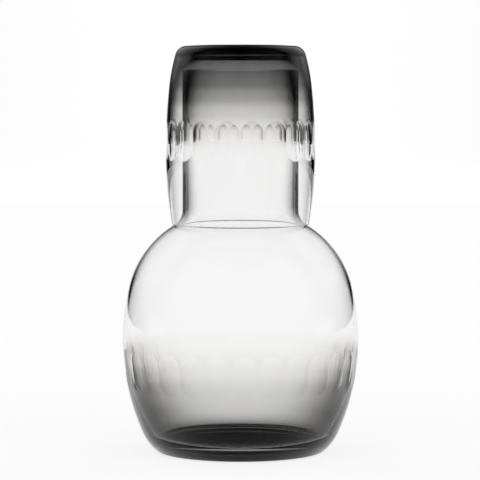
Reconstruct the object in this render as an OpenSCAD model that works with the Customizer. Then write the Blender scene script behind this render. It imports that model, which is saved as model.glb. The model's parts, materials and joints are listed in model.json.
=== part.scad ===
// Bedside carafe with a tumbler that stands upside down over its neck.
// Both are blown glass with a band of cuts. Millimetres, +Z up, origin at the centre of the carafe's foot.

/* [Carafe body] */
// Widest diameter of the belly
body_d = 120; // [110:1:135]
// Height of the widest level above the foot
widest_z = 57; // [50:1:64]
// Radius of the long curve of the flank, seen from the side
side_r = 116; // [100:1:135]
// Height at which the flank turns into the shoulder
shoulder_z = 84.5; // [78:0.5:90]
// Radius of the shoulder curve
shoulder_r = 50; // [47:0.5:54]
// Height at which the heel turns into the flank
heel_z = 10; // [7:0.5:14]
// Radius of the heel curve
heel_r = 25; // [22:0.5:28]
// Radius that rounds the edge of the flat foot
foot_edge_r = 4; // [2:0.5:6]

/* [Carafe neck] */
// Outside diameter of the neck
neck_d = 59; // [54:0.5:64]
// Radius of the flare where the neck leaves the shoulder
flare_r = 9.5; // [6:0.5:12]
// Height of the lip above the foot
carafe_h = 194.5; // [175:0.5:215]

/* [Carafe glass] */
// Wall at the neck, shoulder and widest level
wall = 1.5; // [1.2:0.1:2.2]
// Radius of the flank's inner curve, tighter than the outside so that the wall thickens downwards
inner_side_r = 93; // [86:1:104]
// Radius inside the heel
inner_heel_r = 14; // [11:0.5:18]
// Radius of the slight dish of the floor inside
dish_r = 400; // [300:10:800]
// Thickness of the base at the axis
base_t = 3; // [2.5:0.5:5]

/* [Carafe cuts] */
// Number of flat cuts around the belly
body_cuts = 28; // [24:1:32]
// Height of the middle of the cuts
body_cut_z = 43.5; // [38:0.5:50]
// Depth of each cut at its middle
body_cut_depth = 0.5; // [0.3:0.05:0.8]
// Turn of the ring of cuts about the axis, in degrees
body_cut_turn = 2; // [-6:0.5:6]

/* [Tumbler] */
// Room between the neck and the inside of the tumbler's rim
neck_room = 4.2; // [3.5:0.1:6]
// Gap between the tumbler's rim and the shoulder under it
seat_gap = 0.3; // [0.2:0.05:0.6]
// Gap between the carafe's lip and the tumbler's floor above it
lip_gap = 9.5; // [6:0.5:12]
// How far the side swells outwards beyond the rim
swell = 3; // [2:0.1:4]
// Height of the widest level above the rim
swell_z = 36; // [30:0.5:42]
// Radius of the long curve above the widest level
tumbler_side_r = 318; // [260:1:380]
// Distance below the tumbler's foot at which its side starts to round in
tumbler_heel_h = 21; // [17:0.5:25]
// Radius of the curve that rounds the side in
tumbler_heel_r = 96; // [80:1:115]
// Radius of the corner round the tumbler's foot
corner_r = 6; // [5:0.5:7]
// Diameter of the flat that the tumbler stands on
foot_flat_d = 30; // [24:1:36]
// Radius of the slight crown between the flat and the corner
crown_r = 144; // [110:1:200]

/* [Tumbler glass] */
// Wall at the rim
rim_wall = 1.3; // [0.9:0.1:1.8]
// Wall at the widest level
tumbler_wall = 1.8; // [1.6:0.1:2.4]
// Radius of the inside curve above the widest level
tumbler_inner_r = 330; // [280:1:400]
// Distance below the floor at which the inside starts to round in
inner_round_h = 20; // [16:0.5:24]
// Radius of the curve that rounds the inside in
inner_round_r = 75; // [60:1:95]
// Radius of the corner inside
inner_corner_r = 5; // [4:0.5:7]
// Thickness of the base
tumbler_base_t = 3; // [2.5:0.5:4.5]

/* [Tumbler cuts] */
// Number of hollow cuts around the tumbler
tumbler_cuts = 19; // [17:1:22]
// Height of the middle of the cuts above the rim
tumbler_cut_z = 42.5; // [38:0.5:47]
// Depth of each cut at its middle
tumbler_cut_depth = 0.7; // [0.6:0.05:0.9]
// Radius of the wheel that hollows each cut
wheel_r = 100; // [85:1:120]
// Turn of the ring of cuts about the axis, in degrees
tumbler_cut_turn = 8.5; // [0:0.5:18]

/* [Hidden] */
$fn = 180;

carafe_color = [0.72, 0.72, 0.73, 0.55];
tumbler_color = [0.55, 0.54, 0.54, 0.6];
// How far a short straight step of a curve may lie inside the true curve
curve_tol = 0.03;
// How far a cutting block reaches past the glass
over = 10;

// Points and centres are written [distance from the axis, height].
// Distance from the axis of a point at a height, on the outer side of a circle
function reach_at(centre, radius, z) = centre[0] + sqrt(radius ^ 2 - (z - centre[1]) ^ 2);
// Height of a point at a distance from the axis, on the upper side of a circle
function height_at(centre, radius, r) = centre[1] + sqrt(radius ^ 2 - (r - centre[0]) ^ 2);
// Direction from a centre to a point on the outer side of its circle at a height
function rise(centre, radius, z) = asin((z - centre[1]) / radius);
// Direction from one point to another
function heading(from, to) = atan2(to[1] - from[1], to[0] - from[0]);
// Centre of a curve that goes on smoothly from another, at a direction from that one's centre
function next_centre(centre, radius, angle, next_radius) =
    centre + (radius - next_radius) * [cos(angle), sin(angle)];
// The outer one of the two points that lie at given distances from two centres
function cross_point(a, distance_a, b, distance_b) =
    let (
        span = norm(b - a),
        along = (span ^ 2 + distance_a ^ 2 - distance_b ^ 2) / (2 * span),
        across = sqrt(distance_a ^ 2 - along ^ 2),
        way = (b - a) / span
    )
    a + along * way + across * [way[1], -way[0]];
// Points along a curve after its first one
function arc(centre, radius, from, to) =
    let (
        step = 2 * acos(1 - min(curve_tol / radius, 0.1)),
        steps = max(1, ceil(abs(to - from) / step))
    )
    [for (i = [1 : steps]) let (a = from + (to - from) * i / steps) centre + radius * [cos(a), sin(a)]];

// Carafe outside: foot edge, heel, flank, shoulder, flare and neck, each smooth into the next
side_c = [body_d / 2 - side_r, widest_z];
heel_turn = rise(side_c, side_r, heel_z);
shoulder_turn = rise(side_c, side_r, shoulder_z);
heel_c = next_centre(side_c, side_r, heel_turn, heel_r);
foot_c = [reach_at(heel_c, heel_r - foot_edge_r, foot_edge_r), foot_edge_r];
foot_turn = heading(heel_c, foot_c);
shoulder_c = next_centre(side_c, side_r, shoulder_turn, shoulder_r);
neck_r = neck_d / 2;
flare_c = [neck_r + flare_r, height_at(shoulder_c, shoulder_r + flare_r, neck_r + flare_r)];
flare_turn = heading(shoulder_c, flare_c);
lip_r = wall / 2;
lip_z = carafe_h - lip_r;

// Carafe inside: the wall is even from the lip to the widest level and thickens below it, to a dished floor
inner_side_c = [body_d / 2 - wall - inner_side_r, widest_z];
dish_c = [0, base_t + dish_r];
inner_heel_c = cross_point(inner_side_c, inner_side_r - inner_heel_r, dish_c, dish_r - inner_heel_r);
inner_heel_turn = heading(inner_side_c, inner_heel_c);
dish_turn = heading(dish_c, inner_heel_c);

// Section of the carafe's wall, from the foot up the outside, over the lip and down the inside
carafe_section = concat(
    [[0, 0], [foot_c[0], 0]],
    arc(foot_c, foot_edge_r, -90, foot_turn),
    arc(heel_c, heel_r, foot_turn, heel_turn),
    arc(side_c, side_r, heel_turn, 0),
    arc(side_c, side_r, 0, shoulder_turn),
    arc(shoulder_c, shoulder_r, shoulder_turn, flare_turn),
    arc(flare_c, flare_r, flare_turn + 180, 180),
    [[neck_r, lip_z]],
    arc([neck_r - lip_r, lip_z], lip_r, 0, 90),
    arc([neck_r - lip_r, lip_z], lip_r, 90, 180),
    [[neck_r - wall, flare_c[1]]],
    arc(flare_c, flare_r + wall, 180, flare_turn + 180),
    arc(shoulder_c, shoulder_r - wall, flare_turn, shoulder_turn),
    arc(side_c, side_r - wall, shoulder_turn, 0),
    arc(inner_side_c, inner_side_r, 0, inner_heel_turn),
    arc(inner_heel_c, inner_heel_r, inner_heel_turn, dish_turn),
    arc(dish_c, dish_r, dish_turn, -90)
);

// Tumbler levels: its rim sits on the shoulder and its floor clears the lip
rim_in_r = neck_r + neck_room;
rim_r = rim_in_r + rim_wall;
rim_mid = rim_in_r + rim_wall / 2;
rim_z = height_at(shoulder_c, shoulder_r + seat_gap + rim_wall / 2, rim_mid);
swell_r = rim_r + swell;
swell_level = rim_z + swell_z;
floor_z = carafe_h + lip_gap;
tumbler_top = floor_z + tumbler_base_t;

// Tumbler outside: lower side, upper side, rounding, corner, crown and flat
lower_r = (swell_z ^ 2 + swell ^ 2) / (2 * swell);
lower_c = [swell_r - lower_r, swell_level];
upper_c = [swell_r - tumbler_side_r, swell_level];
round_turn = rise(upper_c, tumbler_side_r, tumbler_top - tumbler_heel_h);
round_c = next_centre(upper_c, tumbler_side_r, round_turn, tumbler_heel_r);
crown_c = [foot_flat_d / 2, tumbler_top - crown_r];
corner_c = cross_point(crown_c, crown_r - corner_r, round_c, tumbler_heel_r - corner_r);
corner_low_turn = heading(round_c, corner_c);
corner_high_turn = heading(crown_c, corner_c);

// Tumbler inside: lower side, upper side, rounding, corner and floor
swell_in_r = swell_r - tumbler_wall;
swell_in = swell_in_r - rim_in_r;
lower_in_r = (swell_z ^ 2 + swell_in ^ 2) / (2 * swell_in);
lower_in_c = [swell_in_r - lower_in_r, swell_level];
upper_in_c = [swell_in_r - tumbler_inner_r, swell_level];
round_in_turn = rise(upper_in_c, tumbler_inner_r, floor_z - inner_round_h);
round_in_c = next_centre(upper_in_c, tumbler_inner_r, round_in_turn, inner_round_r);
corner_in_z = floor_z - inner_corner_r;
corner_in_c = [reach_at(round_in_c, inner_round_r - inner_corner_r, corner_in_z), corner_in_z];
corner_in_turn = heading(round_in_c, corner_in_c);

// Section of the tumbler's wall, from the floor down the inside, round the rim and up the outside
tumbler_section = concat(
    [[0, floor_z], [corner_in_c[0], floor_z]],
    arc(corner_in_c, inner_corner_r, 90, corner_in_turn),
    arc(round_in_c, inner_round_r, corner_in_turn, round_in_turn),
    arc(upper_in_c, tumbler_inner_r, round_in_turn, 0),
    arc(lower_in_c, lower_in_r, 0, rise(lower_in_c, lower_in_r, rim_z)),
    arc([rim_mid, rim_z], rim_wall / 2, 180, 270),
    arc([rim_mid, rim_z], rim_wall / 2, 270, 360),
    arc(lower_c, lower_r, rise(lower_c, lower_r, rim_z), 0),
    arc(upper_c, tumbler_side_r, 0, round_turn),
    arc(round_c, tumbler_heel_r, round_turn, corner_low_turn),
    arc(corner_c, corner_r, corner_low_turn, corner_high_turn),
    arc(crown_c, crown_r, corner_high_turn, 90),
    [[0, tumbler_top]]
);

// Puts copies of a cutter in a ring, each upright on the glass at a height, with +X pointing out of it
module ring_of_cuts(count, turn, centre, radius, z) {
    for (i = [0 : count - 1])
        rotate(turn - 90 + i * 360 / count)
            translate([reach_at(centre, radius, z), 0, z])
                rotate([0, -rise(centre, radius, z), 0])
                    children();
}

// The vessel: foot, belly with its flat cuts, shoulder, neck and lip in one piece of glass
module carafe() {
    cut_w = 2 * body_d / body_cuts + 2 * over;
    color(carafe_color)
        difference() {
            rotate_extrude() polygon(carafe_section);
            ring_of_cuts(body_cuts, body_cut_turn, side_c, side_r, body_cut_z)
                translate([-body_cut_depth, -cut_w / 2, -cut_w])
                    cube([over, cut_w, 2 * cut_w]);
        }
}

// The beaker: rim on the shoulder, hollow cuts ground by a wheel, base upwards
module tumbler() {
    cut_w = 2 * swell_r / tumbler_cuts + 2 * over;
    color(tumbler_color)
        difference() {
            rotate_extrude() polygon(tumbler_section);
            ring_of_cuts(tumbler_cuts, tumbler_cut_turn, upper_c, tumbler_side_r, rim_z + tumbler_cut_z)
                translate([wheel_r - tumbler_cut_depth, 0, 0])
                    rotate([90, 0, 0])
                        cylinder(h = cut_w, r = wheel_r, center = true);
        }
}

carafe();
tumbler();
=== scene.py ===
import json
import math
from collections import namedtuple

import bpy
from bpy.props import FloatProperty, FloatVectorProperty, IntProperty, PointerProperty
from bpy.types import Operator, Panel, PropertyGroup
from mathutils import Matrix, Vector

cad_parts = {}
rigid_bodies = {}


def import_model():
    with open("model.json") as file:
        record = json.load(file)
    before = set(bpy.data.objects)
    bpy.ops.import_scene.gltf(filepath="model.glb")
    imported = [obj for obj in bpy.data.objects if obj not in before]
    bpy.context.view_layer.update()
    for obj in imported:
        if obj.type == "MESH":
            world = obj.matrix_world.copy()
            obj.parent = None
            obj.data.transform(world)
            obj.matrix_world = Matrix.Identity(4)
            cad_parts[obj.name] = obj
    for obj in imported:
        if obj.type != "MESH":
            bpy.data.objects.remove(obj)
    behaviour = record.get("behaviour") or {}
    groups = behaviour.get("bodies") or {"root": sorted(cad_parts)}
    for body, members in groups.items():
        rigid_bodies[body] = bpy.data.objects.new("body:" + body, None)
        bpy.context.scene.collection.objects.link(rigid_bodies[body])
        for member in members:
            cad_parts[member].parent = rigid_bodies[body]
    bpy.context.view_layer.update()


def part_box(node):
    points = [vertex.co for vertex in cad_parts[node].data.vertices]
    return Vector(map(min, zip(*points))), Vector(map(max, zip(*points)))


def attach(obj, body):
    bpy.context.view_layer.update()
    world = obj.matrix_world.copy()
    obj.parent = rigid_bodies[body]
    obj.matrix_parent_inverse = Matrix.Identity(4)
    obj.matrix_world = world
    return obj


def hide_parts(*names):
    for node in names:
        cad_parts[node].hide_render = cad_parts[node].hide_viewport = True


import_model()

bl_info = {
    "name": "Bedside Carafe",
    "version": (1, 0, 0),
    "blender": (4, 5, 0),
    "location": "View3D > Sidebar > Carafe",
    "description": "Models a smoke-glass bedside carafe with its tumbler, on a white table",
    "category": "Add Mesh",
}

MM = 0.001
CARAFE_LOW, CARAFE_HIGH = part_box("carafe")
TUMBLER_LOW, TUMBLER_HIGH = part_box("tumbler")
# Curves are stepped so finely that no facet shows: the largest turn and sagitta of one step
STEP_TURN = math.radians(3)
STEP_SAG = 0.01 * MM
# Edges turned by more than this are cut or ground edges, and stay crisp
CRISP_TURN = math.radians(3.9)
MERGE_GAP = 0.0005 * MM
PLANE_GAP = 0.0001 * MM
# A face larger than this is a ground flat
FLAT_AREA = 80 * MM * MM
# The wheel's smoothness, and how far its ring reaches out of the glass
WHEEL_SIDES = 600
WHEEL_OVER = 2 * MM
QUARTER = math.pi / 2
# Steps of the turned form between one cut and the next
CARAFE_CUT_STEPS, TUMBLER_CUT_STEPS = 10, 16
# Share of light that the smoke leaves after one wall, by height in mm. The carafe's first two stops are
# painted shade: they paint the flat under its foot black, where it stands on the table.
CARAFE_SMOKE_AND_FOOT_SHADE = (
    (0, 0), (0.2, 0), (0.5, 0.85), (6, 0.82), (13, 0.79), (23, 0.81), (33, 0.87), (48, 0.96), (60, 1),
    (150, 1), (165, 0.97), (173, 0.93), (181, 0.87), (188, 0.82), (194.5, 0.8),
)
TUMBLER_SMOKE = (
    (150, 1), (160, 0.97), (165, 0.93), (173, 0.85), (181, 0.66), (188, 0.5), (196, 0.4),
    (200.5, 0.36), (202.2, 0),
)
# The smoke is a trace warmer than a plain grey
SMOKE_WARMTH = (1.0, 0.998, 0.995)
# How much the colour darkens where a wall is seen edge on, and how close to the outline that stays: partly
# the longer path through the tinted wall, mostly painted shade that draws the dark outlines
CARAFE_EDGE_SHADE, TUMBLER_EDGE_SHADE = (30.0, 2.0), (10.0, 4.0)
# The glass mirrors weakly where it is looked at straight on
MIRROR_TINT = (0.1, 0.1, 0.1, 1.0)
# Scuffs where a piece stands: how far up they reach, grains in a metre, and which grains show
SCUFF_HEIGHT = 1.2 * MM
SCUFF_GRAINS, SCUFF_DETAIL, SCUFF_SPOTS = 900.0, 3.0, (0.45, 0.7)
# Blown waves: how many there are in a metre, how deep they are, and their detail
RIPPLE_WAVES, RIPPLE_DEPTH, RIPPLE_DETAIL = 22.0, 0.2 * MM, 1.0
WHITE = (1.0, 1.0, 1.0, 1.0)
# White studio panels, one behind each of the front, back and side views, with dark gaps between them:
# brightness of a panel and of a gap by the rise of the line of sight
PANELS = 4
PANEL_LIGHT = (
    (-0.15, 1), (0.03, 1), (0.05, 0.9), (0.075, 0.6), (0.092, 0.02), (0.3, 0.05), (0.7, 0.1), (1, 0.05),
)
GAP_LIGHT = (
    (-0.15, 0), (0, 0), (0.05, 0.05), (0.1, 0.2), (0.2, 0.45), (0.3, 0.7), (0.7, 0.7), (0.85, 0.2), (1, 0.1),
)
# A wave over the turn round the axis makes the panels' soft edges, between these two heights of it
PANEL_EDGE = (0.35, 1.0)
# Below the horizon the panels are wider by this much of the wave
PANEL_WIDER, WIDER_RISE = 0.4, (-0.07, -0.03)
# The table's own colour, its even glow, its finish and its roundness
TABLE_GREY, TABLE_GLOW = (0.5, 0.5, 0.5, 1.0), 0.8
TABLE_ROUGHNESS = 0.9
TABLE_SIDES = 128
# The table lies just under the foot, so that the two faces never coincide
TABLE_Z = -0.2 * MM
# Light is followed through this many surfaces, enough for four walls and their mirror images
GLASS_BOUNCES = 24
SENSOR_WIDTH = 36.0
# A curve of the section: its centre, its radius and the directions where it starts and ends
Arc = namedtuple("Arc", "centre radius start end")


def length(name, description, mm):
    """A length that a user would change, given in millimetres"""
    return FloatProperty(
        name=name, description=description, default=mm * MM, min=0.0, unit="LENGTH", precision=5
    )


def turn(name, description, degrees):
    """An angle that a user would change, given in degrees"""
    return FloatProperty(
        name=name, description=description, default=math.radians(degrees), subtype="ANGLE"
    )


def colour(name, description, rgb):
    """A colour that a user would change"""
    return FloatVectorProperty(
        name=name, description=description, default=rgb, size=3, min=0.0, max=1.0, subtype="COLOR"
    )


def factor(name, description, value, top=1.0):
    """A plain number that a user would change"""
    return FloatProperty(name=name, description=description, default=value, min=0.0, max=top)


class CarafeSizes(PropertyGroup):
    """Sizes of the carafe"""

    belly_d: length("Belly", "Widest diameter", (CARAFE_HIGH.x - CARAFE_LOW.x) / MM)
    height: length("Height", "Height of the lip above the foot", CARAFE_HIGH.z / MM)
    widest_z: length("Widest level", "Height of the widest level", 57)
    flank_r: length("Flank", "Radius of the flank's long curve", 116)
    shoulder_z: length("Shoulder level", "Height at which the flank turns into the shoulder", 84.5)
    shoulder_r: length("Shoulder", "Radius of the shoulder curve", 50)
    heel_z: length("Heel level", "Height at which the heel turns into the flank", 10)
    heel_r: length("Heel", "Radius of the heel curve", 25)
    foot_edge_r: length("Foot edge", "Radius round the flat foot", 4)
    neck_d: length("Neck", "Outside diameter of the neck", 59)
    flare_r: length("Flare", "Radius where the neck leaves the shoulder", 9.5)
    wall: length("Wall", "Wall at the neck, shoulder and widest level", 1.5)
    inner_flank_r: length("Inner flank", "Radius of the flank's inner curve", 93)
    inner_heel_r: length("Inner heel", "Radius inside the heel", 14)
    dish_r: length("Dish", "Radius of the slightly dished floor", 400)
    base_t: length("Base", "Thickness of the base at the axis", 3)
    cuts: IntProperty(name="Cuts", description="Flat cuts round the belly", default=28, min=3)
    cut_z: length("Cut level", "Height of the middle of the cuts", 43.5)
    cut_depth: length("Cut depth", "Depth of a cut at its middle", 0.5)
    cut_turn: turn("Cut turn", "Turn of the ring of cuts", 2)


class TumblerSizes(PropertyGroup):
    """Sizes of the tumbler, which stands upside down on the shoulder"""

    rim_low: length("Rim level", "Height of the rim's lowest point", TUMBLER_LOW.z / MM)
    top: length("Top", "Height of the tumbler's foot", TUMBLER_HIGH.z / MM)
    rim_r: length("Rim radius", "Outside radius of the rim", 35)
    rim_wall: length("Rim wall", "Wall at the rim", 1.3)
    swell: length("Swell", "How far the side swells beyond the rim", 3)
    swell_z: length("Swell level", "Height of the widest level above the rim", 36)
    side_r: length("Side", "Radius of the long curve above the widest level", 318)
    heel_h: length("Heel height", "Distance below the foot at which the side rounds in", 21)
    heel_r: length("Heel", "Radius of the curve that rounds the side in", 96)
    corner_r: length("Corner", "Radius of the corner round the foot", 6)
    flat_d: length("Flat", "Diameter of the flat that the tumbler stands on", 30)
    crown_r: length("Crown", "Radius of the crown between the flat and the corner", 144)
    wall: length("Wall", "Wall at the widest level", 1.8)
    inner_r: length("Inner side", "Radius of the inside curve above the widest level", 330)
    inner_round_h: length("Inner rounding", "Distance below the floor at which the inside rounds in", 20)
    inner_round_r: length("Inner rounding radius", "Radius of the curve that rounds the inside in", 75)
    inner_corner_r: length("Inner corner", "Radius of the corner inside", 5)
    base_t: length("Base", "Thickness of the base", 3)
    cuts: IntProperty(name="Cuts", description="Hollow cuts round the side", default=19, min=3)
    cut_z: length("Cut level", "Height of the middle of the cuts above the rim", 42.5)
    cut_depth: length("Cut depth", "Depth of a cut at its middle", 0.7)
    wheel_r: length("Wheel", "Radius of the wheel that hollows a cut", 100)
    cut_turn: turn("Cut turn", "Turn of the ring of cuts", 8.5)


class GlassLook(PropertyGroup):
    """Finish of the glass"""

    ior: factor("Refraction", "Index of refraction of the glass", 1.5, 3.0)
    tint: colour("Tint", "Colour that the smoke glass keeps", (0.06, 0.03, 0.0))
    density: factor("Smoke", "Absorption of the glass in each metre", 18.5, 500.0)
    ripple: factor("Ripple", "Strength of the faint waves that blowing leaves in the wall", 0.03, 1.0)
    scuff: factor("Scuff", "Roughness of the fine scratches where the glass stands", 0.12, 1.0)


class StageLook(PropertyGroup):
    """Table, light and camera"""

    table_d: length("Table", "Diameter of the white table", 5000)
    camera_distance: length("Camera distance", "From the axis, along the floor", 1383.5)
    camera_height: length("Camera height", "Above the table", 196)
    camera_side: length("Camera side", "To the left of the axis", 0.25)
    camera_tilt: turn("Camera tilt", "Downwards from level", 3.646)
    lens: FloatProperty(name="Lens", description="Focal length in mm", default=204.3, min=1.0)


def reach_at(centre, radius, z):
    """Distance from the axis of a circle's outer side at a height"""
    return centre.x + math.sqrt(radius**2 - (z - centre.y) ** 2)


def height_at(centre, radius, r):
    """Height of a circle's upper side at a distance from the axis"""
    return centre.y + math.sqrt(radius**2 - (r - centre.x) ** 2)


def rise(centre, radius, z):
    """Direction from a centre to its circle's outer side at a height"""
    return math.asin((z - centre.y) / radius)


def heading(start, end):
    """Direction from one point to another"""
    return math.atan2(end.y - start.y, end.x - start.x)


def polar(angle, radius=1.0):
    """A step in the section, as distance from the axis and height"""
    return Vector((radius * math.cos(angle), radius * math.sin(angle)))


def cross_point(a, distance_a, b, distance_b):
    """The outer one of the two points at given distances from two centres"""
    way = (b - a).normalized()
    span = (b - a).length
    along = (span**2 + distance_a**2 - distance_b**2) / (2 * span)
    across = math.sqrt(distance_a**2 - along**2)
    return a + along * way + across * Vector((way.y, -way.x))


def arc_steps(arc):
    """How many straight steps make a curve look smooth"""
    step = min(STEP_TURN, 2 * math.acos(1 - min(STEP_SAG / arc.radius, 0.5)))
    return max(1, math.ceil(abs(arc.end - arc.start) / step))


def carafe_section(size):
    """The carafe's wall from the foot up the outside, over the lip and down the inside"""
    flank_c = Vector((size.belly_d / 2 - size.flank_r, size.widest_z))
    heel_turn = rise(flank_c, size.flank_r, size.heel_z)
    shoulder_turn = rise(flank_c, size.flank_r, size.shoulder_z)
    heel_c = flank_c + polar(heel_turn, size.flank_r - size.heel_r)
    foot_c = Vector((reach_at(heel_c, size.heel_r - size.foot_edge_r, size.foot_edge_r), size.foot_edge_r))
    foot_turn = heading(heel_c, foot_c)
    shoulder_c = flank_c + polar(shoulder_turn, size.flank_r - size.shoulder_r)
    neck_r = size.neck_d / 2
    flare_r = neck_r + size.flare_r
    flare_c = Vector((flare_r, height_at(shoulder_c, size.shoulder_r + size.flare_r, flare_r)))
    flare_turn = heading(shoulder_c, flare_c)
    lip_r = size.wall / 2
    lip_c = Vector((neck_r - lip_r, size.height - lip_r))
    inner_flank_c = Vector((size.belly_d / 2 - size.wall - size.inner_flank_r, size.widest_z))
    dish_c = Vector((0, size.base_t + size.dish_r))
    inner_heel_c = cross_point(
        inner_flank_c, size.inner_flank_r - size.inner_heel_r, dish_c, size.dish_r - size.inner_heel_r
    )
    inner_heel_turn = heading(inner_flank_c, inner_heel_c)
    dish_turn = heading(dish_c, inner_heel_c)
    return [
        Vector((0, 0)),
        Vector((foot_c.x, 0)),
        Arc(foot_c, size.foot_edge_r, -QUARTER, foot_turn),
        Arc(heel_c, size.heel_r, foot_turn, heel_turn),
        Arc(flank_c, size.flank_r, heel_turn, 0),
        Arc(flank_c, size.flank_r, 0, shoulder_turn),
        Arc(shoulder_c, size.shoulder_r, shoulder_turn, flare_turn),
        Arc(flare_c, size.flare_r, flare_turn + math.pi, math.pi),
        lip_c + polar(0, lip_r),
        Arc(lip_c, lip_r, 0, QUARTER),
        Arc(lip_c, lip_r, QUARTER, math.pi),
        Vector((neck_r - size.wall, flare_c.y)),
        Arc(flare_c, size.flare_r + size.wall, math.pi, flare_turn + math.pi),
        Arc(shoulder_c, size.shoulder_r - size.wall, flare_turn, shoulder_turn),
        Arc(flank_c, size.flank_r - size.wall, shoulder_turn, 0),
        Arc(inner_flank_c, size.inner_flank_r, 0, inner_heel_turn),
        Arc(inner_heel_c, size.inner_heel_r, inner_heel_turn, dish_turn),
        Arc(dish_c, size.dish_r, dish_turn, -QUARTER),
    ]


def tumbler_levels(size):
    """The rim's middle, the widest level and the curve of the tumbler's upper side"""
    rim_z = size.rim_low + size.rim_wall / 2
    swell_level = rim_z + size.swell_z
    upper_c = Vector((size.rim_r + size.swell - size.side_r, swell_level))
    return rim_z, swell_level, upper_c


def tumbler_section(size):
    """The tumbler's wall from its floor down the inside, round the rim and up the outside"""
    rim_z, swell_level, upper_c = tumbler_levels(size)
    floor_z = size.top - size.base_t
    rim_c = Vector((size.rim_r - size.rim_wall / 2, rim_z))
    lower_r = (size.swell_z**2 + size.swell**2) / (2 * size.swell)
    lower_c = Vector((size.rim_r + size.swell - lower_r, swell_level))
    round_turn = rise(upper_c, size.side_r, size.top - size.heel_h)
    round_c = upper_c + polar(round_turn, size.side_r - size.heel_r)
    crown_c = Vector((size.flat_d / 2, size.top - size.crown_r))
    corner_c = cross_point(crown_c, size.crown_r - size.corner_r, round_c, size.heel_r - size.corner_r)
    corner_low = heading(round_c, corner_c)
    corner_high = heading(crown_c, corner_c)
    inner_swell = size.swell + size.rim_wall - size.wall
    inner_reach = size.rim_r + size.swell - size.wall
    inner_lower_r = (size.swell_z**2 + inner_swell**2) / (2 * inner_swell)
    inner_lower_c = Vector((inner_reach - inner_lower_r, swell_level))
    inner_upper_c = Vector((inner_reach - size.inner_r, swell_level))
    inner_round_turn = rise(inner_upper_c, size.inner_r, floor_z - size.inner_round_h)
    inner_round_c = inner_upper_c + polar(inner_round_turn, size.inner_r - size.inner_round_r)
    inner_corner_z = floor_z - size.inner_corner_r
    inner_corner_reach = reach_at(inner_round_c, size.inner_round_r - size.inner_corner_r, inner_corner_z)
    inner_corner_c = Vector((inner_corner_reach, inner_corner_z))
    inner_corner_turn = heading(inner_round_c, inner_corner_c)
    return [
        Vector((0, floor_z)),
        Vector((inner_corner_c.x, floor_z)),
        Arc(inner_corner_c, size.inner_corner_r, QUARTER, inner_corner_turn),
        Arc(inner_round_c, size.inner_round_r, inner_corner_turn, inner_round_turn),
        Arc(inner_upper_c, size.inner_r, inner_round_turn, 0),
        Arc(inner_lower_c, inner_lower_r, 0, rise(inner_lower_c, inner_lower_r, rim_z)),
        Arc(rim_c, size.rim_wall / 2, math.pi, 3 * QUARTER),
        Arc(rim_c, size.rim_wall / 2, 3 * QUARTER, 4 * QUARTER),
        Arc(lower_c, lower_r, rise(lower_c, lower_r, rim_z), 0),
        Arc(upper_c, size.side_r, 0, round_turn),
        Arc(round_c, size.heel_r, round_turn, corner_low),
        Arc(corner_c, size.corner_r, corner_low, corner_high),
        Arc(crown_c, size.crown_r, corner_high, QUARTER),
        Vector((0, size.top)),
    ]


def blow(name, section, steps):
    """A solid of revolution: a point taken along the section, spun round the axis"""
    bpy.ops.object.select_all(action="DESELECT")
    bpy.ops.mesh.primitive_plane_add(size=MM)
    piece = bpy.context.object
    piece.name = piece.data.name = name
    bpy.ops.object.mode_set(mode="EDIT")
    bpy.ops.mesh.select_all(action="SELECT")
    bpy.ops.mesh.merge(type="CENTER")
    here = section[0]
    bpy.ops.transform.translate(value=(here.x, 0, here.y))
    for part in section[1:]:
        if isinstance(part, Arc):
            bpy.ops.mesh.spin(
                steps=arc_steps(part), angle=part.end - part.start,
                center=(part.centre.x, 0, part.centre.y), axis=(0, 1, 0),
            )
            here = part.centre + polar(part.end, part.radius)
        else:
            step = part - here
            bpy.ops.mesh.extrude_region_move(TRANSFORM_OT_translate={"value": (step.x, 0, step.y)})
            here = part
    bpy.ops.mesh.select_all(action="SELECT")
    bpy.ops.mesh.spin(steps=steps, angle=2 * math.pi, center=(0, 0, 0), axis=(0, 0, 1))
    tidy_mesh()
    bpy.ops.object.mode_set(mode="OBJECT")
    return piece


def tidy_mesh():
    """Merges doubles and turns the faces outwards, in edit mode"""
    bpy.ops.mesh.select_all(action="SELECT")
    bpy.ops.mesh.remove_doubles(threshold=MERGE_GAP)
    bpy.ops.mesh.normals_make_consistent(inside=False)


def cut_place(turned, centre, radius, z):
    """Where a cut touches the glass, with +X pointing out of it"""
    ring = Matrix.Rotation(turned - QUARTER, 4, "Z")
    spot = Matrix.Translation((reach_at(centre, radius, z), 0, z))
    return ring @ spot @ Matrix.Rotation(-rise(centre, radius, z), 4, "Y")


def slice_off(point, outwards, fill):
    """Cuts away all that lies beyond a plane, in edit mode"""
    bpy.ops.mesh.select_all(action="SELECT")
    bpy.ops.mesh.bisect(
        plane_co=point, plane_no=outwards, use_fill=fill, clear_outer=True, threshold=PLANE_GAP
    )


def grind_flats(piece, size):
    """Slices a flat off the belly for each cut"""
    flank_c = Vector((size.belly_d / 2 - size.flank_r, size.widest_z))
    bpy.ops.object.mode_set(mode="EDIT")
    for i in range(size.cuts):
        turned = size.cut_turn + 2 * math.pi * i / size.cuts
        place = cut_place(turned, flank_c, size.flank_r, size.cut_z)
        outwards = place.to_3x3() @ Vector((1, 0, 0))
        slice_off(place.translation - size.cut_depth * outwards, outwards, fill=True)
    bpy.ops.object.mode_set(mode="OBJECT")


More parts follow.
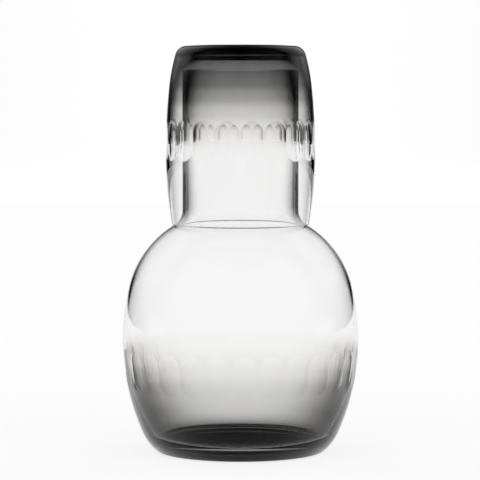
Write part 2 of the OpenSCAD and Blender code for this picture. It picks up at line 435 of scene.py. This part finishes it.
def wheel_ring(size):
    """A closed ring of wheel edges, one for each hollow cut, that meet halfway between the cuts"""
    rim_z, _, upper_c = tumbler_levels(size)
    place = cut_place(size.cut_turn, upper_c, size.side_r, rim_z + size.cut_z)
    outwards = place.to_3x3() @ Vector((1, 0, 0))
    bpy.ops.object.select_all(action="DESELECT")
    bpy.ops.mesh.primitive_cylinder_add(
        vertices=WHEEL_SIDES, radius=size.wheel_r, depth=size.rim_r, end_fill_type="NGON",
        location=place @ Vector((size.wheel_r - size.cut_depth, 0, 0)),
        rotation=(place @ Matrix.Rotation(QUARTER, 4, "X")).to_euler(),
    )
    bpy.ops.object.transform_apply(location=True, rotation=True, scale=True)
    bpy.ops.object.mode_set(mode="EDIT")
    slice_off(place.translation + WHEEL_OVER * outwards, outwards, fill=True)
    middle = size.cut_turn - QUARTER
    for side in (-1, 1):
        edge = middle + side * math.pi / size.cuts
        slice_off((0, 0, 0), (-side * math.sin(edge), side * math.cos(edge), 0), fill=False)
    bpy.ops.object.mode_set(mode="OBJECT")
    wheel = bpy.context.object
    for i in range(1, size.cuts):
        bpy.ops.object.select_all(action="DESELECT")
        wheel.select_set(True)
        bpy.context.view_layer.objects.active = wheel
        bpy.ops.object.duplicate()
        bpy.context.object.rotation_euler.z = 2 * math.pi * i / size.cuts
        bpy.ops.object.transform_apply(location=True, rotation=True, scale=True)
    for other in bpy.data.objects:
        other.select_set(other.name.startswith(wheel.name))
    bpy.ops.object.join()
    bpy.ops.object.mode_set(mode="EDIT")
    tidy_mesh()
    bpy.ops.object.mode_set(mode="OBJECT")
    return bpy.context.object


def grind_hollows(piece, size):
    """Hollows the tumbler's side with the ring of wheels"""
    ring = wheel_ring(size)
    bpy.context.view_layer.objects.active = piece
    cut = piece.modifiers.new("hollow_cuts", "BOOLEAN")
    cut.operation = "DIFFERENCE"
    cut.solver = "EXACT"
    cut.object = ring
    bpy.ops.object.modifier_apply(modifier=cut.name)
    bpy.data.objects.remove(ring)


def polish(piece, material, node, body):
    """Smooth shading with crisp cut edges, the glass, and the piece's place in the frame"""
    bpy.ops.object.select_all(action="DESELECT")
    piece.select_set(True)
    bpy.context.view_layer.objects.active = piece
    bpy.ops.object.shade_smooth_by_angle(angle=CRISP_TURN)
    for face in piece.data.polygons:
        if face.area > FLAT_AREA:
            face.use_smooth = False
    piece.data.materials.clear()
    piece.data.materials.append(material)
    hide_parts(node)
    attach(piece, body)


def feed(tree, socket, value):
    """Link an output to a socket, or set the socket to a plain value"""
    if isinstance(value, bpy.types.NodeSocket):
        tree.links.new(value, socket)
    else:
        socket.default_value = value


def sum_of(tree, operation, first, second=0.0):
    """One step of arithmetic"""
    node = tree.nodes.new("ShaderNodeMath")
    node.operation = operation
    feed(tree, node.inputs[0], first)
    feed(tree, node.inputs[1], second)
    return node.outputs[0]


def soft_step(tree, value, limits, ends=(0.0, 1.0)):
    """A smooth change from one end to the other between two limits"""
    node = tree.nodes.new("ShaderNodeMapRange")
    node.interpolation_type = "SMOOTHSTEP"
    feed(tree, node.inputs["Value"], value)
    node.inputs["From Min"].default_value, node.inputs["From Max"].default_value = limits
    node.inputs["To Min"].default_value, node.inputs["To Max"].default_value = ends
    return node.outputs["Result"]


def mixed(tree, share, first, second):
    """The first value, the second one, or a share of both"""
    node = tree.nodes.new("ShaderNodeMix")
    for index, value in ((0, share), (2, first), (3, second)):
        feed(tree, node.inputs[index], value)
    return node.outputs[0]


def graded(tree, value, stops, interpolation, tone=(1.0, 1.0, 1.0)):
    """A colour that follows a value through stops of (value, brightness)"""
    low, high = stops[0][0], stops[-1][0]
    node = tree.nodes.new("ShaderNodeValToRGB")
    ramp = node.color_ramp
    ramp.interpolation = interpolation
    while len(ramp.elements) < len(stops):
        ramp.elements.new(0.5)
    for element, (place, bright) in zip(ramp.elements, stops):
        element.position = (place - low) / (high - low)
        element.color = (*(bright * part if bright < 1 else 1.0 for part in tone), 1.0)
    share = sum_of(tree, "DIVIDE", sum_of(tree, "SUBTRACT", value, low), high - low)
    tree.links.new(share, node.inputs["Fac"])
    return node.outputs["Color"]


def node_group(name, inputs, output, fill):
    """A node group, made once; fill gives the output from the tree, its inputs and the place on the piece"""
    if name in bpy.data.node_groups:
        return bpy.data.node_groups[name]
    tree = bpy.data.node_groups.new(name, "ShaderNodeTree")
    for socket in inputs:
        tree.interface.new_socket(socket, in_out="INPUT", socket_type="NodeSocketFloat")
    tree.interface.new_socket(output, in_out="OUTPUT", socket_type="NodeSocketFloat")
    start = tree.nodes.new("NodeGroupInput")
    end = tree.nodes.new("NodeGroupOutput")
    place = tree.nodes.new("ShaderNodeTexCoord").outputs["Object"]
    tree.links.new(fill(tree, start.outputs, place), end.inputs[output])
    return tree


def parts_of(tree, place):
    """A place as its X, Y and Z"""
    split = tree.nodes.new("ShaderNodeSeparateXYZ")
    tree.links.new(place, split.inputs[0])
    return split.outputs


def noise_at(tree, place, scale, detail):
    """Even noise over a piece"""
    noise = tree.nodes.new("ShaderNodeTexNoise")
    noise.inputs["Detail"].default_value = detail
    feed(tree, noise.inputs["Scale"], scale)
    tree.links.new(place, noise.inputs["Vector"])
    return noise.outputs["Fac"]


def height_fill(tree, _, place):
    """Height of a point in mm"""
    return sum_of(tree, "DIVIDE", parts_of(tree, place)["Z"], MM)


def ripple_fill(tree, inputs, place):
    """The long, faint waves that blowing leaves in a wall"""
    return noise_at(tree, place, inputs["Waves"], RIPPLE_DETAIL)


def scuff_fill(tree, inputs, place):
    """Roughness of fine scratches on the ring where a piece stands"""
    above = sum_of(tree, "SUBTRACT", parts_of(tree, place)["Z"], inputs["Level"])
    away = sum_of(tree, "DIVIDE", sum_of(tree, "ABSOLUTE", above), inputs["Reach"])
    near = sum_of(tree, "MAXIMUM", sum_of(tree, "SUBTRACT", 1.0, away), 0.0)
    spots = soft_step(tree, noise_at(tree, place, SCUFF_GRAINS, SCUFF_DETAIL), SCUFF_SPOTS)
    return sum_of(tree, "MULTIPLY", sum_of(tree, "MULTIPLY", near, spots), inputs["Roughness"])


def placed(nodes, group, **values):
    """A node group in a material, with its own values"""
    node = nodes.new("ShaderNodeGroup")
    node.node_tree = group
    for name, value in values.items():
        node.inputs[name].default_value = value
    return node.outputs[0]


def painted_shade_smoke_glass(name, look, stops, edge, stand):
    """Polished glass whose smoke fades over its height, with painted shade that darkens it where it is seen
    edge on
    """
    material = bpy.data.materials.new(name)
    material.use_nodes = True
    tree = material.node_tree
    nodes, link = tree.nodes, tree.links.new
    shader = nodes["Principled BSDF"]
    output = nodes["Material Output"]
    shader.inputs["Transmission Weight"].default_value = 1.0
    shader.inputs["IOR"].default_value = look.ior
    shader.inputs["Specular Tint"].default_value = MIRROR_TINT
    height = placed(nodes, node_group("height_in_piece", (), "Height", height_fill))
    # The stops give the smoke over the height; the carafe's first stops also paint the flat under its foot
    # black, as painted shade where it stands
    fade = graded(tree, height, stops, "EASE", SMOKE_WARMTH)
    amount, power = edge
    # Painted shade: the colour darkens towards the outlines, where the wall is seen edge on, partly for the
    # longer path through the tinted wall
    aside = nodes.new("ShaderNodeLayerWeight").outputs["Facing"]
    edge_shade = sum_of(tree, "MULTIPLY", sum_of(tree, "POWER", aside, power), amount)
    edge_shade = sum_of(tree, "ADD", edge_shade, 1.0)
    smoke = nodes.new("ShaderNodeGamma")
    link(fade, smoke.inputs["Color"])
    link(edge_shade, smoke.inputs["Gamma"])
    link(smoke.outputs["Color"], shader.inputs["Base Color"])
    scuff = node_group("standing_scuff", ("Level", "Reach", "Roughness"), "Rough", scuff_fill)
    rough = placed(nodes, scuff, Level=stand, Reach=SCUFF_HEIGHT, Roughness=look.scuff)
    link(rough, shader.inputs["Roughness"])
    ripple = node_group("blown_ripple", ("Waves",), "Ripple", ripple_fill)
    waves = nodes.new("ShaderNodeBump")
    waves.inputs["Strength"].default_value = look.ripple
    waves.inputs["Distance"].default_value = RIPPLE_DEPTH
    link(placed(nodes, ripple, Waves=RIPPLE_WAVES), waves.inputs["Height"])
    link(waves.outputs["Normal"], shader.inputs["Normal"])
    absorb = nodes.new("ShaderNodeVolumeAbsorption")
    absorb.inputs["Color"].default_value = (*look.tint, 1.0)
    absorb.inputs["Density"].default_value = look.density
    link(absorb.outputs["Volume"], output.inputs["Volume"])
    return material


class BEDSIDE_OT_carafe(Operator):
    """Model the carafe: blown vessel with a ring of flat cuts"""

    bl_idname = "bedside.carafe"
    bl_label = "Carafe"

    def execute(self, context):
        size = context.scene.carafe_sizes
        piece = blow("carafe_vessel", carafe_section(size), size.cuts * CARAFE_CUT_STEPS)
        grind_flats(piece, size)
        look = context.scene.glass_look
        glass = painted_shade_smoke_glass("carafe_smoke_glass", look, CARAFE_SMOKE_AND_FOOT_SHADE, CARAFE_EDGE_SHADE, CARAFE_LOW.z)
        polish(piece, glass, "carafe", "carafe")
        return {"FINISHED"}


class BEDSIDE_OT_tumbler(Operator):
    """Model the tumbler: blown beaker with a ring of hollow cuts"""

    bl_idname = "bedside.tumbler"
    bl_label = "Tumbler"

    def execute(self, context):
        size = context.scene.tumbler_sizes
        piece = blow("tumbler_beaker", tumbler_section(size), size.cuts * TUMBLER_CUT_STEPS)
        grind_hollows(piece, size)
        look = context.scene.glass_look
        glass = painted_shade_smoke_glass("tumbler_smoke_glass", look, TUMBLER_SMOKE, TUMBLER_EDGE_SHADE, TUMBLER_HIGH.z)
        polish(piece, glass, "tumbler", "tumbler")
        return {"FINISHED"}


def white_table(look):
    """A plain white table top that keeps the object's shadow"""
    bpy.ops.object.select_all(action="DESELECT")
    bpy.ops.mesh.primitive_circle_add(vertices=TABLE_SIDES, radius=look.table_d / 2, fill_type="NGON")
    table = bpy.context.object
    table.name = "table"
    table.location.z = TABLE_Z
    material = bpy.data.materials.new("table_white")
    material.use_nodes = True
    shader = material.node_tree.nodes["Principled BSDF"]
    shader.inputs["Base Color"].default_value = TABLE_GREY
    shader.inputs["Roughness"].default_value = TABLE_ROUGHNESS
    shader.inputs["Specular IOR Level"].default_value = 0.0
    shader.inputs["Emission Color"].default_value = WHITE
    shader.inputs["Emission Strength"].default_value = TABLE_GLOW
    table.data.materials.append(material)


def studio_light(scene):
    """White panels behind each main view with dark gaps between them, the same for every ray"""
    world = bpy.data.worlds.new("studio")
    scene.world = world
    world.use_nodes = True
    tree = world.node_tree
    nodes, link = tree.nodes, tree.links.new
    nodes.clear()
    way = parts_of(tree, nodes.new("ShaderNodeTexCoord").outputs["Generated"])
    azimuth = sum_of(tree, "ARCTAN2", way["Y"], way["X"])
    wave = sum_of(tree, "COSINE", sum_of(tree, "MULTIPLY", azimuth, PANELS))
    wider = soft_step(tree, way["Z"], WIDER_RISE, (PANEL_WIDER, 0.0))
    share = soft_step(tree, sum_of(tree, "ADD", wave, wider), PANEL_EDGE)
    gap = graded(tree, way["Z"], GAP_LIGHT, "LINEAR")
    panel = graded(tree, way["Z"], PANEL_LIGHT, "LINEAR")
    light = nodes.new("ShaderNodeBackground")
    light.inputs["Color"].default_value = WHITE
    link(mixed(tree, share, gap, panel), light.inputs["Strength"])
    output = nodes.new("ShaderNodeOutputWorld")
    link(light.outputs[0], output.inputs["Surface"])
    scene.cycles.max_bounces = GLASS_BOUNCES
    scene.cycles.transmission_bounces = GLASS_BOUNCES


def place_camera(scene, look):
    """A camera at the photograph's viewing angle"""
    data = bpy.data.cameras.new("camera")
    data.lens = look.lens
    data.sensor_width = SENSOR_WIDTH
    camera = bpy.data.objects.new("camera", data)
    scene.collection.objects.link(camera)
    camera.location = (-look.camera_side, -look.camera_distance, look.camera_height)
    camera.rotation_euler = (QUARTER - look.camera_tilt, 0.0, 0.0)
    scene.camera = camera


class BEDSIDE_OT_stage(Operator):
    """Set the white table, the light and the camera"""

    bl_idname = "bedside.stage"
    bl_label = "Stage"

    def execute(self, context):
        scene = context.scene
        scene.view_settings.view_transform = "Standard"
        white_table(scene.stage_look)
        studio_light(scene)
        place_camera(scene, scene.stage_look)
        return {"FINISHED"}


class BEDSIDE_PT_panel(Panel):
    """Sidebar panel that lists the set's sizes and steps"""

    bl_idname = "BEDSIDE_PT_panel"
    bl_label = "Bedside Carafe"
    bl_space_type = "VIEW_3D"
    bl_region_type = "UI"
    bl_category = "Carafe"

    def draw(self, context):
        for step in STEPS:
            self.layout.operator(step.bl_idname)
        for name in GROUPS:
            box = self.layout.box()
            group = getattr(context.scene, name)
            for prop in group.__annotations__:
                box.prop(group, prop)


GROUPS = {
    "carafe_sizes": CarafeSizes,
    "tumbler_sizes": TumblerSizes,
    "glass_look": GlassLook,
    "stage_look": StageLook,
}
STEPS = (BEDSIDE_OT_carafe, BEDSIDE_OT_tumbler, BEDSIDE_OT_stage)


def register():
    for cls in (*GROUPS.values(), *STEPS, BEDSIDE_PT_panel):
        bpy.utils.register_class(cls)
    for name, cls in GROUPS.items():
        setattr(bpy.types.Scene, name, PointerProperty(type=cls))


def unregister():
    for name in GROUPS:
        delattr(bpy.types.Scene, name)
    for cls in (BEDSIDE_PT_panel, *STEPS, *GROUPS.values()):
        bpy.utils.unregister_class(cls)


def main():
    register()
    bpy.ops.bedside.carafe()
    bpy.ops.bedside.tumbler()
    bpy.ops.bedside.stage()


if __name__ == "__main__":
    main()
